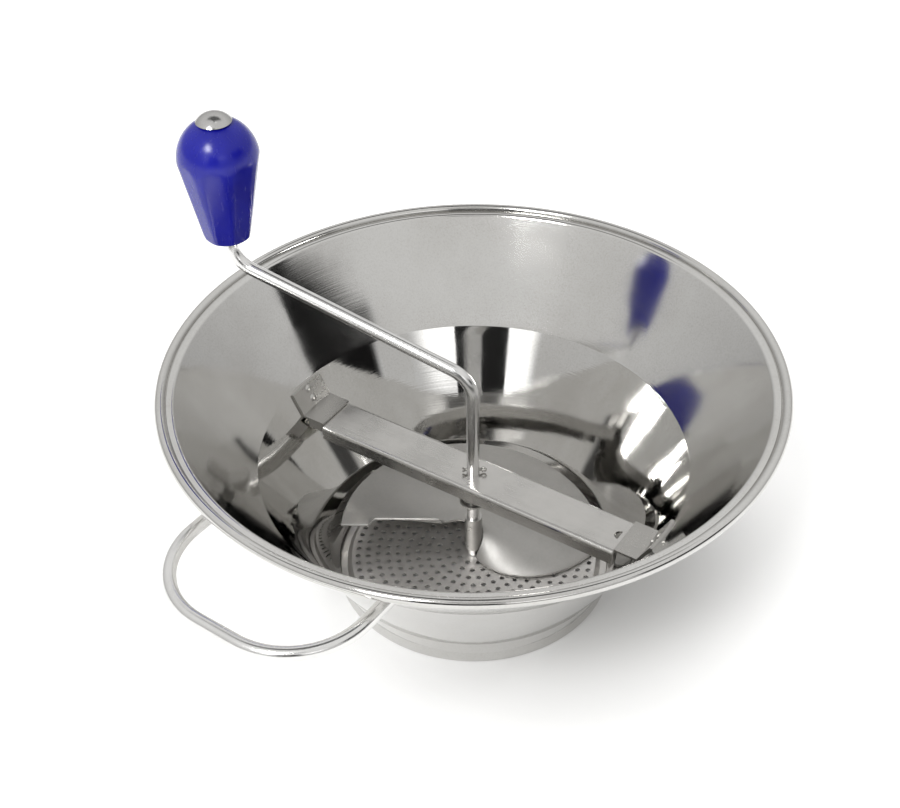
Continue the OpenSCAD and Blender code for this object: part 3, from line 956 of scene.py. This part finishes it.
def make_camera():
    right = direction(CAMERA_AZIMUTH + 90, 0)
    back = direction(CAMERA_AZIMUTH, CAMERA_ELEVATION)
    up = back.cross(right)
    aim = Vector((0, 0, RIM_TOP)) - right * AIM_LEFT - up * AIM_DOWN
    x = right * math.cos(CAMERA_ROLL) + up * math.sin(CAMERA_ROLL)
    y = up * math.cos(CAMERA_ROLL) - right * math.sin(CAMERA_ROLL)
    camera = bpy.data.cameras.new("camera")
    camera.sensor_fit = "HORIZONTAL"
    camera.angle = CAMERA_VIEW_ANGLE
    camera.clip_start = 0.01
    obj = bpy.data.objects.new("camera", camera)
    place = aim + back * CAMERA_DISTANCE
    obj.matrix_world = Matrix.Translation(place) @ Matrix((x, y, back)).transposed().to_4x4()
    bpy.context.scene.collection.objects.link(obj)
    bpy.context.scene.camera = obj


# ---------------------------------------------------------------- assembly

MATERIALS = {
    "spun": spun_steel("spun_steel"),
    "wire": wire_steel("wire_steel", base=(0.80, 0.795, 0.785)),
    "satin": satin_steel("satin_steel", base=(0.54, 0.53, 0.51)),
    # Painted shade: the lugs get a darker copy of the satin steel
    "lug": satin_steel("lug_steel_painted_shade", base=(0.45, 0.44, 0.42)),
    # Painted shade: the knob's cap gets a darker copy of the wire steel
    "cap": wire_steel("cap_steel", base=(0.54, 0.535, 0.525)),
    "weld": satin_steel("weld_steel", base=(0.5, 0.49, 0.47), rough=0.42),
    "bar": satin_steel("bar_steel", base=(0.55, 0.54, 0.52), along=(0.05, 1.0, 1.0), rough=0.24),
    "blade": satin_steel("blade_steel", base=(0.53, 0.52, 0.50), rough=0.56),
    "sieve": satin_steel("sieve_steel", base=(0.80, 0.78, 0.755), rough=0.5),
    "spring": wire_steel("spring_steel", base=(0.42, 0.41, 0.39)),
    "plastic": blue_plastic("blue_plastic"),
}

# CAD nodes that stay: the material, and the radius of the rounded edges in millimetres
CAD_FINISH = (
    ("lug_left", "lug", 0.3),
    ("lug_right", "lug", 0.3),
    ("rest_hook_left", "wire", 0.3),
    ("rest_hook_right", "wire", 0.3),
    ("lug_rivets", "satin", 0.0),
    ("sieve", "sieve", 0.0),
    ("crossbar", "bar", 0.3),
    ("bar_washer", "satin", 0.15),
    ("spring_washer", "satin", 0.15),
    ("thrust_pin", "satin", 0.2),
    ("split_pin", "spring", 0.0),
    ("blade_hub", "satin", 0.4),
    ("knob_washer", "satin", 0.2),
    ("knob_cap", "cap", 0.0),
)

# Far cards that the steel reflects: their four corners as (azimuth, elevation), their tone,
# and how much of them fades, as the function card says
CARDS = {
    "dark_left": (((84, 10), (125, 10), (118, 26.2), (82, 30.2)), 0.01, (0.1, 0, 0, 0)),
    "dark_front": (((13.5, 6), (42, 6), (42, 29), (13.5, 29)), 0.02, (0, 0, 0, 0)),
    "white_front": (((-3, 15), (13.5, 17), (13.5, 29), (-6, 29)), 2.0, (0.35, 0, 0.2, 0)),
    "white_side": (((42, 19.5), (66, 19), (72, 29), (42, 29)), 2.0, (0, 0.5, 0.2, 0)),
    "dark_top": (((80, 85.4), (350, 85.4), (350, 90), (80, 90)), 0.02, (0.1, 0.1, 0, 0)),
    "white_top_left": (
        ((-64, 79.5), (-30, 79.5), (-30, 85.4), (-64, 85.4)), 1.9, (0.2, 0.2, 0.4, 0),
    ),
    "white_top_right": (
        ((86, 78.5), (122, 78.5), (122, 85.4), (86, 85.4)), 1.9, (0.3, 0.2, 0.3, 0),
    ),
    "dark_high": (((22, 45), (46, 45), (46, 57), (22, 57)), 0.1, (0.2, 0.2, 0.2, 0.2)),
    "dark_back": (((150, 56), (280, 56), (280, 84), (150, 84)), 0.12, (0.15, 0.15, 0.15, 0)),
}

make_hopper()
make_loop_handle()
make_welds()
make_crank()
make_blade()
make_spring()
make_knob()
for node, finish, edge in CAD_FINISH:
    finish_cad(node, MATERIALS[finish], edge * MM)

make_floor()
make_backdrop()
make_world()
make_camera()
for name, (corners, tone, soft) in CARDS.items():
    card(name, corners, tone, soft)
softbox("key", azimuth=3, elevation=48, distance=5.0, size=1.3, power=130)
bpy.context.scene.view_settings.view_transform = "Standard"
